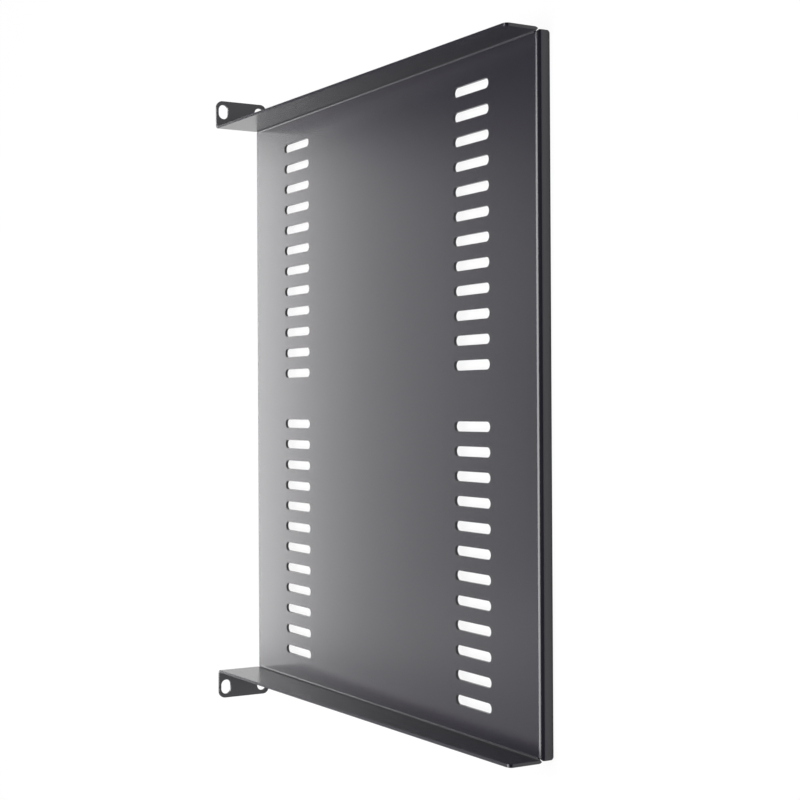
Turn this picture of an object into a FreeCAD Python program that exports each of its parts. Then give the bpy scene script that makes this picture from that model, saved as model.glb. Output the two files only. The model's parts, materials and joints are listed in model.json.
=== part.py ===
import FreeCAD, Part
import math
import os

# Cantilever rack shelf: one steel sheet, cut and folded. All lengths are in millimetres.
# X runs across the rack, Y from the ears towards the rear, Z up.
# The origin is the centre of the four rack holes, on the ears' rear faces, which bear on the rack's rails.

Vector = FreeCAD.Vector
along_x = Vector(1, 0, 0)
along_y = Vector(0, 1, 0)
along_z = Vector(0, 0, 1)

# --- the sheet and its folds ---
sheet = 2.0                     # thickness
bend_radius = 1.5               # inside of every fold
relief_radius = 1.0             # round relief where two folds meet at a corner of the tray
cutter_overrun = 1.0            # how far a cutter runs past what it cuts

# --- the ears: a 19-inch panel, one unit high, with its holes ---
rack_width = 482.6              # over both ears
ear_height = 43.65
ear_reach = 20.8                # from a side wall's outside to the ear's end
ear_corner_radius = 5.0
ear_inner_corner_radius = 1.0
hole_length = 11.5              # end to end, across the rack
hole_width = 8.5
hole_end_margin = 8.75          # from the ear's end to the holes' middles
hole_edge_margin = 5.95         # from the ear's top or bottom edge to the holes' middles

# --- the folded body ---
depth = 400.0                   # from the ears' front faces to the rear lip's face
lip_depth = 8.6                 # from the tray's top down to the lips' edges
lip_inset = 1.5                 # the lips stop this far inside the body's sides
lip_corner_radius = 2.0
rear_wall_height = 22.5         # above the tray's top; at the front the walls are as high as the ears
wall_setback = 1.0              # the walls end this far in front of the rear lip's face
wall_corner_radius = 3.0

# --- the vent slots: a front and a rear row, each in two groups ---
slot_length = 42.0              # front to rear
slot_width = 6.5
slot_pitch = 16.1
middle_pitch = 39.4             # between the two slots next to the middle
slot_side_margin = 15.0         # least distance from a side wall to the last slot's middle
row_margin = 75.0               # from the front or rear face to the middle of the row

# --- levels and faces that follow from the sizes above ---
outer_radius = bend_radius + sheet
front_face = -sheet
rear_face = front_face + depth
fold_front = front_face + outer_radius
fold_rear = rear_face - outer_radius
wall_end = rear_face - wall_setback
underside = -ear_height / 2
ear_top = ear_height / 2
tray_top = underside + lip_depth
tray_bottom = tray_top - sheet
wall_foot = tray_top + bend_radius
ear_end = rack_width / 2
wall_outside = ear_end - ear_reach
wall_inside = wall_outside - sheet
lip_end = wall_outside - lip_inset
tray_flat_edge = wall_inside - bend_radius
ear_flat_edge = wall_outside + bend_radius
slots_in_group = 1 + int((wall_inside - slot_side_margin - middle_pitch / 2) // slot_pitch)


def rounded_path(corners, radius):
    """Straight runs through the corners, with an arc of the radius at each right-angled turn."""
    edges = []
    start = corners[0]
    for before, corner, after in zip(corners, corners[1:], corners[2:]):
        heading_in = (corner - before).normalize()
        heading_out = (after - corner).normalize()
        arc_start = corner - heading_in * radius
        arc_end = corner + heading_out * radius
        arc_middle = corner + (heading_out - heading_in) * radius * (1 - math.sqrt(0.5))
        if not start.isEqual(arc_start, 1e-6):
            edges.append(Part.makeLine(start, arc_start))
        edges.append(Part.Arc(arc_start, arc_middle, arc_end).toShape())
        start = arc_end
    if not start.isEqual(corners[-1], 1e-6):
        edges.append(Part.makeLine(start, corners[-1]))
    return edges


def folded_strip(outside, inside, extent):
    """A folded strip of sheet: the section between two corner paths, drawn out along the extent."""
    section = rounded_path(outside, outer_radius) + rounded_path(inside, bend_radius)
    section.append(Part.makeLine(outside[0], inside[0]))
    section.append(Part.makeLine(outside[-1], inside[-1]))
    wire = Part.Wire(Part.sortEdges(section)[0])
    return Part.Face(wire).extrude(extent)


def block(x_range, y_range, z_range):
    """A plain cutter between two corners."""
    low = Vector(min(x_range), min(y_range), min(z_range))
    high = Vector(max(x_range), max(y_range), max(z_range))
    size = high - low
    return Part.makeBox(size.x, size.y, size.z, low)


def obround_cutter(middle, along, through, length, width):
    """A round-ended cutter for a hole in the sheet; middle lies halfway through the sheet."""
    half_run = along * ((length - width) / 2)
    half_width = along.cross(through) * (width / 2)
    cap = along * (width / 2)
    start = middle - through * (sheet / 2 + cutter_overrun)
    corners = [
        start - half_run - half_width,
        start + half_run - half_width,
        start + half_run + half_width,
        start - half_run + half_width,
    ]
    edges = [
        Part.makeLine(corners[0], corners[1]),
        Part.Arc(corners[1], start + half_run + cap, corners[2]).toShape(),
        Part.makeLine(corners[2], corners[3]),
        Part.Arc(corners[3], start - half_run - cap, corners[0]).toShape(),
    ]
    return Part.Face(Part.Wire(edges)).extrude(through * (sheet + 2 * cutter_overrun))


def round_corners(solid, places, direction, radius):
    """Round the edges that run along the direction and pass through the places."""
    chosen = []
    for edge in solid.Edges:
        first = edge.Vertexes[0].Point
        last = edge.Vertexes[-1].Point
        if (last - first).Length < 1e-6 or (last - first).cross(direction).Length > 1e-6:
            continue
        if any((place - first).cross(direction).Length < 1e-6 for place in places):
            chosen.append(edge)
    return solid.makeFillet(radius, chosen)


def make_channel():
    """The tray across its whole width, with both side walls folded up and tapered towards the rear."""
    outside = [
        Vector(-wall_outside, fold_front, ear_top),
        Vector(-wall_outside, fold_front, tray_bottom),
        Vector(wall_outside, fold_front, tray_bottom),
        Vector(wall_outside, fold_front, ear_top),
    ]
    inside = [
        Vector(-wall_inside, fold_front, ear_top),
        Vector(-wall_inside, fold_front, tray_top),
        Vector(wall_inside, fold_front, tray_top),
        Vector(wall_inside, fold_front, ear_top),
    ]
    channel = folded_strip(outside, inside, along_y * (wall_end - fold_front))

    # The walls' side view: as high as the ears at the front, lower at the rear.
    rear_top = Vector(-wall_outside, wall_end, tray_top + rear_wall_height)
    side_view = Part.makePolygon([
        Vector(-wall_outside, fold_front, tray_bottom),
        Vector(-wall_outside, fold_front, ear_top),
        rear_top,
        Vector(-wall_outside, wall_end, tray_bottom),
        Vector(-wall_outside, fold_front, tray_bottom),
    ])
    side_block = Part.Face(side_view).extrude(along_x * (2 * wall_outside))
    side_block = round_corners(side_block, [rear_top], along_x, wall_corner_radius)

    # The flat of the tray stops where the rear fold starts, and the walls run on past it.
    beyond_fold = block(
        (-tray_flat_edge, tray_flat_edge),
        (fold_rear, rear_face),
        (tray_bottom - cutter_overrun, tray_top + cutter_overrun),
    )
    return channel.common(side_block).cut(beyond_fold)


def make_lip(face, inner_face, fold_start):
    """A stiffening lip folded down along the front or the rear of the tray."""
    outside = [
        Vector(-lip_end, face, underside),
        Vector(-lip_end, face, tray_top),
        Vector(-lip_end, fold_start, tray_top),
    ]
    inside = [
        Vector(-lip_end, inner_face, underside),
        Vector(-lip_end, inner_face, tray_bottom),
        Vector(-lip_end, fold_start, tray_bottom),
    ]
    lip = folded_strip(outside, inside, along_x * (2 * lip_end))
    free_corners = [Vector(-lip_end, face, underside), Vector(lip_end, face, underside)]
    return round_corners(lip, free_corners, along_y, lip_corner_radius)


def make_ear(side):
    """A mounting ear folded outwards from the front of a side wall; side is -1 or 1."""
    ear_rear_face = front_face + sheet
    outside = [
        Vector(side * wall_inside, fold_front, underside),
        Vector(side * wall_inside, front_face, underside),
        Vector(side * ear_end, front_face, underside),
    ]
    inside = [
        Vector(side * wall_outside, fold_front, underside),
        Vector(side * wall_outside, ear_rear_face, underside),
        Vector(side * ear_end, ear_rear_face, underside),
    ]
    ear = folded_strip(outside, inside, along_z * ear_height)

    # Below the wall's foot the ear hangs free, so its fold is cut away there.
    fold_below_wall = block(
        (side * (wall_inside - cutter_overrun), side * ear_flat_edge),
        (front_face - cutter_overrun, fold_front + cutter_overrun),
        (underside - cutter_overrun, wall_foot),
    )
    ear = ear.cut(fold_below_wall)
    outer_corners = [Vector(side * ear_end, 0, underside), Vector(side * ear_end, 0, ear_top)]
    ear = round_corners(ear, outer_corners, along_y, ear_corner_radius)
    ear = round_corners(ear, [Vector(side * ear_flat_edge, 0, underside)], along_y, ear_inner_corner_radius)

    for level in (underside + hole_edge_margin, ear_top - hole_edge_margin):
        middle = Vector(side * (ear_end - hole_end_margin), front_face + sheet / 2, level)
        ear = ear.cut(obround_cutter(middle, along_x, along_y, hole_length, hole_width))
    return ear


def vent_slot_cutters():
    """Both rows of slots, their long side front to rear."""
    cutters = []
    for row_middle in (front_face + row_margin, rear_face - row_margin):
        for number in range(slots_in_group):
            offset = middle_pitch / 2 + number * slot_pitch
            for x in (-offset, offset):
                middle = Vector(x, row_middle, tray_top - sheet / 2)
                cutters.append(obround_cutter(middle, along_y, along_z, slot_length, slot_width))
    return cutters


def corner_relief_cutters():
    """Round reliefs at the tray's four corners, where a lip's fold meets a wall's fold."""
    foot = tray_top - outer_radius
    cutters = []
    for x in (-wall_inside, wall_inside):
        for y in (fold_front, wall_end):
            cutters.append(Part.makeCylinder(relief_radius, wall_foot - foot, Vector(x, y, foot)))
    return cutters


folded_parts = [
    make_lip(front_face, front_face + sheet, fold_front),
    make_lip(rear_face, rear_face - sheet, fold_rear),
    make_ear(-1),
    make_ear(1),
]
shelf = make_channel().fuse(folded_parts)
shelf = shelf.cut(vent_slot_cutters() + corner_relief_cutters()).removeSplitter()

os.makedirs("parts", exist_ok=True)
shelf.exportStep("parts/shelf.step")
print("shelf:", len(shelf.Solids), "solid, valid:", shelf.isValid(), "volume:", round(shelf.Volume), "mm3")
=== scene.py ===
import json
import math
from types import SimpleNamespace

import bmesh
import bpy
from mathutils import Matrix, Vector


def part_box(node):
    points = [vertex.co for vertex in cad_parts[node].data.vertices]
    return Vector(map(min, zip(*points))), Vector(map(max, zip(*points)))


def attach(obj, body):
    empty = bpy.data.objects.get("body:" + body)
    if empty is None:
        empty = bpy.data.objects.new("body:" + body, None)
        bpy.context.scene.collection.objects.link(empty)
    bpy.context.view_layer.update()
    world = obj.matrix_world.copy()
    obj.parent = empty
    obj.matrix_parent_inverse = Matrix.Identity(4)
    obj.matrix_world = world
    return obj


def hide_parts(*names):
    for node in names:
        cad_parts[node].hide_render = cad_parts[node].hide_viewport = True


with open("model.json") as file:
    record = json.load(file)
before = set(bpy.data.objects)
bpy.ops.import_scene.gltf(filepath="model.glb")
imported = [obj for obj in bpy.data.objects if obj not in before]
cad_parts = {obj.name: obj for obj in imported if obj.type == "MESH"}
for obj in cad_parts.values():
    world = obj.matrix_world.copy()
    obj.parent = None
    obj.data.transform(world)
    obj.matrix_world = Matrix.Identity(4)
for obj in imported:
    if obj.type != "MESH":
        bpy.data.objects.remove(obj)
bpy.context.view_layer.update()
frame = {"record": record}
scene = bpy.context.scene
mm = 0.001                                      # sizes below are in millimetres, the scene is in metres
print("frame loaded")


def addObject(name, mesh):
    made = bpy.data.objects.new(name, mesh)
    scene.collection.objects.link(made)
    return made


def addMaterial(name):
    made = bpy.data.materials.new(name)
    made.use_nodes = True
    return made, made.node_tree, made.node_tree.nodes["Principled BSDF"]


def addNode(tree, kind, **choices):
    node = tree.nodes.new(kind)
    for name, choice in choices.items():
        setattr(node, name, choice)
    return node


cameraSettings = {
    "lens": 69.92,
    "place": (0.00632, 1.15835, 0.52568),
    "look": (-0.00389, -0.86442, -0.50276),
    "up": (-0.99998, 0.00589, -0.00239),        # held on its side, so that the shelf stands upright
    "clip": (0.05, 50),
}


def makeCamera(settings):
    data = bpy.data.cameras.new("camera")
    data.lens = settings["lens"]
    data.clip_start, data.clip_end = settings["clip"]
    camera = addObject("camera", data)
    back = -Vector(settings["look"]).normalized()
    right = Vector(settings["up"]).cross(back).normalized()
    up = back.cross(right)
    turn = Matrix((right, up, back)).transposed()
    camera.matrix_world = Matrix.Translation(settings["place"]) @ turn.to_4x4()
    scene.camera = camera


makeCamera(cameraSettings)
print("camera placed")


mounts = {mount["name"]: mount for mount in frame["record"]["mounts"]}
rackHoles = mounts["rack_holes"]["dims"]
low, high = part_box("shelf")

shelfSettings = {
    "sheet": 2.0,
    "bendRadius": 1.5,                          # inside of the folds
    "bodyWidth": 441.0,
    "lipDepth": 8.6,
    "lipInset": 1.5,                            # from the body's side to the lip's end
    "lipCorner": 2.0,
    "rearWallHeight": 22.5,                     # above the tray
    "wallSetback": 1.0,
    "wallCorner": 3.0,
    "earCorner": 5.0,
    "earInnerCorner": 1.0,
    "relief": 1.0,                              # cut beside the front lip's fold
    "slit": 0.3,                                # between the rear lip's fold and the wall's
    "foldShort": 0.5,                           # how far the lips' whole folds stop before the wall
    "slotLength": 42.0,
    "slotWidth": 6.5,
    "slotPitch": 16.1,
    "middlePitch": 39.4,
    "slotsInGroup": 12,
    "rowMargin": 75.0,
    "foldSteps": 12,
    "roundingSteps": 8,
    "endShare": 0.9999,                         # of a hole's half width, so that its rounded corners don't meet
    "mergeDistance": 0.01,
    "edgeRounding": 0.25,
    "edgeSteps": 2,
    "edgeAngle": 40,                            # degrees above which an edge is rounded
    "flatWeight": 90,                           # how strongly the wide flats rule the shading
}


# A flat of the sheet: an outline with some corners rounded and round-ended holes, filled and set in its place.
def addFlat(shelf, corners, roundings, holes, place):
    steps = shelfSettings["roundingSteps"]
    flat = bmesh.new()
    outline = [flat.verts.new((x, y, 0)) for x, y in corners]
    flat.faces.new(outline)
    for number, radius in roundings.items():
        bmesh.ops.bevel(flat, geom=[outline[number]], affect="VERTICES", offset=radius * mm,
                        segments=steps, profile=0.5, material=-1)
    for x, y, length, width in holes:
        size = Matrix.Diagonal((width * mm, length * mm, 1, 1))
        hole = bmesh.ops.create_grid(flat, x_segments=1, y_segments=1, size=0.5,
                                     matrix=Matrix.Translation((x, y, 0)) @ size)
        radius = min(length, width) / 2 * mm
        bmesh.ops.bevel(flat, geom=hole["verts"], affect="VERTICES", offset=radius * shelfSettings["endShare"],
                        segments=steps, profile=0.5, material=-1)
    bmesh.ops.remove_doubles(flat, verts=flat.verts[:], dist=shelfSettings["mergeDistance"] * mm)
    bmesh.ops.delete(flat, geom=flat.faces[:], context="FACES_ONLY")
    bmesh.ops.triangle_fill(flat, edges=flat.edges[:], use_beauty=True, normal=(0, 0, 1))
    flat.transform(place)
    part = bpy.data.meshes.new("flat")
    flat.to_mesh(part)
    flat.free()
    shelf.from_mesh(part)
    bpy.data.meshes.remove(part)


# A fold: a straight line of the sheet, cut at the stops, is spun a quarter turn round the fold's axis.
def addFold(shelf, stops, centre, axis):
    line = [shelf.verts.new(stop) for stop in stops]
    edges = [shelf.edges.new(pair) for pair in zip(line, line[1:])]
    bmesh.ops.spin(shelf, geom=line + edges, cent=centre, axis=axis, dvec=(0, 0, 0),
                   angle=math.radians(90), steps=shelfSettings["foldSteps"])


# A flat's place: where its own origin lies, and which way its own X and Y point.
def placing(origin, across, along):
    facing = Vector(across).cross(Vector(along))
    turn = Matrix((Vector(across), Vector(along), facing)).transposed()
    return Matrix.Translation(origin) @ turn.to_4x4()


# The lines where the flats of the sheet's skin end and its folds begin, in metres.
def findLines(settings):
    sheet, bend = settings["sheet"] * mm, settings["bendRadius"] * mm
    bigBend = bend + sheet                                      # outside of the folds
    wallX = settings["bodyWidth"] / 2 * mm - sheet
    trayTop = low.z + settings["lipDepth"] * mm
    foldFront, foldRear = low.y + bigBend, high.y - bigBend
    return SimpleNamespace(
        wallX=wallX,                                            # the wall's inside
        flatX=wallX - bend,                                     # the side of the tray's flat
        earX=wallX + bigBend,                                   # the inner side of the ear's flat
        foldEnd=wallX - settings["foldShort"] * mm,
        lipEnd=wallX + sheet - settings["lipInset"] * mm,
        foldFront=foldFront,
        reliefEnd=foldFront + settings["relief"] * mm,
        slitStart=foldRear - settings["slit"] * mm,
        foldRear=foldRear,
        wallEnd=high.y - settings["wallSetback"] * mm,
        trayTop=trayTop,
        wallFoot=trayTop + bend,
        lipFoot=trayTop - bigBend,
        wallRearTop=trayTop + settings["rearWallHeight"] * mm,
    )


def addTray(half, settings, at):
    slots = []
    for row in (low.y + settings["rowMargin"] * mm, high.y - settings["rowMargin"] * mm):
        for number in range(settings["slotsInGroup"]):
            x = (settings["middlePitch"] / 2 + number * settings["slotPitch"]) * mm
            slots.append((x, row, settings["slotLength"], settings["slotWidth"]))
    corners = [(0, at.foldFront), (at.flatX, at.foldFront), (at.flatX, at.reliefEnd),
               (at.flatX, at.slitStart), (at.flatX, at.foldRear), (0, at.foldRear)]
    addFlat(half, corners, {}, slots, Matrix.Translation((0, 0, at.trayTop)))


# The side wall, tapered to the rear, and its fold up from the tray.
def addWall(half, settings, at):
    stops = (at.foldFront, at.reliefEnd, at.slitStart, at.wallEnd)
    corners = [(y, at.wallFoot) for y in stops] + [(at.wallEnd, at.wallRearTop), (at.foldFront, high.z)]
    place = placing((at.wallX, 0, 0), (0, 1, 0), (0, 0, 1))
    addFlat(half, corners, {4: settings["wallCorner"]}, [], place)
    addFold(half, [(at.flatX, y, at.trayTop) for y in stops], (at.flatX, at.foldFront, at.wallFoot), (0, -1, 0))


# Both lips and their folds. The rear fold runs on to the lip's end, under the wall's end.
def addLips(half, settings, at):
    frontStops = (0, at.flatX, at.foldEnd)
    rearStops = (*frontStops, at.wallX, at.lipEnd)
    corners = [(0, low.z), (at.lipEnd, low.z)] + [(x, at.lipFoot) for x in reversed(rearStops)]
    ends = ((low.y, at.foldFront, frontStops, 1), (high.y, at.foldRear, rearStops, -1))
    for face, foldStart, stops, turn in ends:
        place = placing((0, face, 0), (1, 0, 0), (0, 0, 1))
        addFlat(half, corners, {1: settings["lipCorner"]}, [], place)
        addFold(half, [(x, foldStart, at.trayTop) for x in stops], (0, foldStart, at.lipFoot), (turn, 0, 0))


# The ear with its two holes, and its fold out from the wall.
def addEar(half, settings, at):
    holes = []
    for sign in (-1, 1):
        holes.append((rackHoles["spacing_x_mm"] / 2 * mm, sign * rackHoles["spacing_y_mm"] / 2 * mm,
                      2 * rackHoles["hole_r_mm"], rackHoles["slot_length_mm"]))
    corners = [(at.earX, low.z), (high.x, low.z), (high.x, high.z), (at.earX, high.z), (at.earX, at.wallFoot)]
    roundings = {0: settings["earInnerCorner"], 1: settings["earCorner"], 2: settings["earCorner"]}
    addFlat(half, corners, roundings, holes, placing((0, low.y, 0), (1, 0, 0), (0, 0, 1)))
    stops = [(at.wallX, at.foldFront, z) for z in (at.wallFoot, high.z)]
    addFold(half, stops, (at.earX, at.foldFront, 0), (0, 0, 1))


# The reliefs: the wall's fold is cut away beside the lips' folds, and the rear fold close to the wall's.
def cutReliefs(half, at):
    notched = []
    for face in half.faces:
        x, y, z = face.calc_center_median()
        wallFold = at.flatX < x < at.wallX and at.trayTop < z < at.wallFoot
        atFront = y < at.reliefEnd
        atRear = y > at.slitStart and x < at.foldEnd
        slit = at.foldRear - at.slitStart
        tooHigh = at.trayTop - (x - at.foldEnd) - slit < z < at.trayTop
        underWall = x > at.foldEnd and y > at.foldRear and tooHigh
        if underWall or wallFold and (atFront or atRear):
            notched.append(face)
    bmesh.ops.delete(half, geom=notched, context="FACES")


# One half of the shelf's skin: the tray's top, the wall's inside, the ear's front and the lips' outsides.
def makeHalfShelf(settings):
    at = findLines(settings)
    half = bmesh.new()
    for addPart in (addTray, addWall, addLips, addEar):
        addPart(half, settings, at)
    bmesh.ops.remove_doubles(half, verts=half.verts[:], dist=settings["mergeDistance"] * mm)
    cutReliefs(half, at)
    return half


def makeShelf(settings):
    shelf = makeHalfShelf(settings)
    bmesh.ops.mirror(shelf, geom=shelf.verts[:] + shelf.edges[:] + shelf.faces[:],
                     matrix=Matrix.Identity(4), merge_dist=settings["mergeDistance"] * mm, axis="X")
    bmesh.ops.remove_doubles(shelf, verts=shelf.verts[:], dist=settings["mergeDistance"] * mm)
    bmesh.ops.recalc_face_normals(shelf, faces=shelf.faces[:])
    tray = max(shelf.faces, key=lambda face: face.calc_area() * abs(face.normal.z))
    if tray.normal.z < 0:
        bmesh.ops.reverse_faces(shelf, faces=shelf.faces[:])
    mesh = bpy.data.meshes.new("foldedShelf")
    shelf.to_mesh(mesh)
    shelf.free()
    mesh.shade_smooth()
    made = addObject("foldedShelf", mesh)

    thickness = made.modifiers.new("sheetThickness", "SOLIDIFY")
    thickness.thickness = settings["sheet"] * mm
    thickness.offset = -1
    thickness.use_even_offset = True
    rounding = made.modifiers.new("edgeRounding", "BEVEL")
    rounding.width = settings["edgeRounding"] * mm
    rounding.segments = settings["edgeSteps"]
    rounding.limit_method = "ANGLE"
    rounding.angle_limit = math.radians(settings["edgeAngle"])
    shading = made.modifiers.new("flatShading", "WEIGHTED_NORMAL")
    shading.keep_sharp = True
    shading.weight = settings["flatWeight"]
    return made


foldedShelf = makeShelf(shelfSettings)
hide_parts("shelf")
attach(foldedShelf, "root")
print("shelf folded")


coatSettings = {
    "black": (0.011, 0.0095, 0.017),
    "paleBlack": (0.018, 0.016, 0.025),
    "cloudScale": 14,                           # slow change of tone, per metre
    "cloudDetail": 4,
    "peelScale": 900,                           # the fine texture of the coat
    "peelDetail": 3,
    "peelHeight": 0.000004,
    "roughness": (0.21, 0.25),
    "bendOfLight": 1.6,                         # index of refraction
}


def makePowderCoat(settings):
    material, tree, shader = addMaterial("blackPowderCoat")
    shader.inputs["IOR"].default_value = settings["bendOfLight"]
    place = addNode(tree, "ShaderNodeTexCoord")

    clouds = addNode(tree, "ShaderNodeTexNoise")
    clouds.inputs["Scale"].default_value = settings["cloudScale"]
    clouds.inputs["Detail"].default_value = settings["cloudDetail"]
    tone = addNode(tree, "ShaderNodeMix", data_type="RGBA")
    tone.inputs["A"].default_value = (*settings["black"], 1)
    tone.inputs["B"].default_value = (*settings["paleBlack"], 1)
    tree.links.new(place.outputs["Object"], clouds.inputs["Vector"])
    tree.links.new(clouds.outputs["Fac"], tone.inputs["Factor"])
    tree.links.new(tone.outputs["Result"], shader.inputs["Base Color"])

    peel = addNode(tree, "ShaderNodeTexNoise")
    peel.inputs["Scale"].default_value = settings["peelScale"]
    peel.inputs["Detail"].default_value = settings["peelDetail"]
    gloss = addNode(tree, "ShaderNodeMapRange")
    gloss.inputs["To Min"].default_value, gloss.inputs["To Max"].default_value = settings["roughness"]
    bump = addNode(tree, "ShaderNodeBump")
    bump.inputs["Strength"].default_value = 1
    bump.inputs["Distance"].default_value = settings["peelHeight"]
    tree.links.new(place.outputs["Object"], peel.inputs["Vector"])
    tree.links.new(peel.outputs["Fac"], gloss.inputs["Value"])
    tree.links.new(gloss.outputs["Result"], shader.inputs["Roughness"])
    tree.links.new(peel.outputs["Fac"], bump.inputs["Height"])
    tree.links.new(bump.outputs["Normal"], shader.inputs["Normal"])
    return material


foldedShelf.data.materials.append(makePowderCoat(coatSettings))
print("powder coat applied")


floorSettings = {
    "size": 12.0,
    "colour": (0.9, 0.9, 0.9),
    "roughness": 0.9,
    # how much of the floor is plain white to each kind of ray
    "whiteShare": {"Is Camera Ray": 0.93, "Is Glossy Ray": 0.5, "Is Transmission Ray": 0.5},
}

lampSettings = {
    "front": {"place": (-0.01, -1.7, 0.7), "aim": (0, 0.1, 0), "size": (1.1, 0.18), "watts": 4.5},
    "frontFill": {"place": (0.01, -1.9, 1.15), "aim": (0, 0.1, 0), "size": (1.2, 0.85), "watts": 2.3},
    "above": {"place": (0.08, 0.0, 1.5), "aim": (0, 0.3, 0), "size": (1.3, 1.3), "watts": 36},
    "side": {"place": (0.75, -1.2, 1.1), "aim": (0, 0.2, 0), "size": (0.8, 0.6), "watts": 0.9},
}

worldSettings = {
    "white": 1.0,                               # the backdrop, and all that the camera sees
    "room": 0.08,                               # the dim room above the backdrop and behind the camera
    "tilt": 15,                                 # degrees that the backdrop rises in front of the shelf
    "fade": (0.0, 0.15),                        # how softly its top edge fades out
}


def makeFloor(settings):
    plate = bmesh.new()
    bmesh.ops.create_grid(plate, x_segments=1, y_segments=1, size=settings["size"] / 2,
                          matrix=Matrix.Translation((0, 0, low.z)))
    mesh = bpy.data.meshes.new("floor")
    plate.to_mesh(mesh)
    plate.free()
    floor = addObject("floor", mesh)

    material, tree, shader = addMaterial("paleFloor")
    shader.inputs["Base Color"].default_value = (*settings["colour"], 1)
    shader.inputs["Roughness"].default_value = settings["roughness"]
    glow = addNode(tree, "ShaderNodeEmission")
    ray = addNode(tree, "ShaderNodeLightPath")
    mix = addNode(tree, "ShaderNodeMixShader")
    share = None
    for kind, white in settings["whiteShare"].items():
        step = addNode(tree, "ShaderNodeMath", operation="MULTIPLY_ADD")
        step.inputs[1].default_value = white
        step.inputs[2].default_value = 0
        tree.links.new(ray.outputs[kind], step.inputs[0])
        if share:
            tree.links.new(share.outputs["Value"], step.inputs[2])
        share = step
    tree.links.new(share.outputs["Value"], mix.inputs["Fac"])
    tree.links.new(shader.outputs["BSDF"], mix.inputs[1])
    tree.links.new(glow.outputs["Emission"], mix.inputs[2])
    tree.links.new(mix.outputs["Shader"], tree.nodes["Material Output"].inputs["Surface"])
    mesh.materials.append(material)


def makeLamps(settings):
    for name, lamp in settings.items():
        data = bpy.data.lights.new(name, "AREA")
        data.shape = "RECTANGLE"
        data.size, data.size_y = lamp["size"]
        data.energy = lamp["watts"]
        made = addObject(name, data)
        made.location = lamp["place"]
        aim = Vector(lamp["aim"]) - made.location
        made.rotation_euler = aim.to_track_quat("-Z", "Y").to_euler()


def makeWorld(settings):
    world = bpy.data.worlds.new("studio")
    scene.world = world
    world.use_nodes = True
    tree = world.node_tree
    sky = tree.nodes["Background"]
    place = addNode(tree, "ShaderNodeTexCoord")
    height = addNode(tree, "ShaderNodeVectorMath", operation="DOT_PRODUCT")
    tilt = math.radians(settings["tilt"])
    height.inputs[1].default_value = (0, math.sin(tilt), math.cos(tilt))
    ray = addNode(tree, "ShaderNodeLightPath")
    fade = addNode(tree, "ShaderNodeMapRange")
    lower, upper = settings["fade"]
    fade.inputs["From Min"].default_value = lower
    fade.inputs["From Max"].default_value = upper
    fade.inputs["To Min"].default_value = settings["white"]
    fade.inputs["To Max"].default_value = settings["room"]
    strength = addNode(tree, "ShaderNodeMix", data_type="FLOAT")
    strength.inputs["B"].default_value = settings["white"]
    tree.links.new(place.outputs["Generated"], height.inputs[0])
    tree.links.new(height.outputs["Value"], fade.inputs["Value"])
    tree.links.new(ray.outputs["Is Camera Ray"], strength.inputs["Factor"])
    tree.links.new(fade.outputs["Result"], strength.inputs["A"])
    tree.links.new(strength.outputs["Result"], sky.inputs["Strength"])
    sky.inputs["Color"].default_value = (1, 1, 1, 1)


makeFloor(floorSettings)
makeLamps(lampSettings)
makeWorld(worldSettings)
scene.view_settings.view_transform = "Standard"
print("floor and lights set")
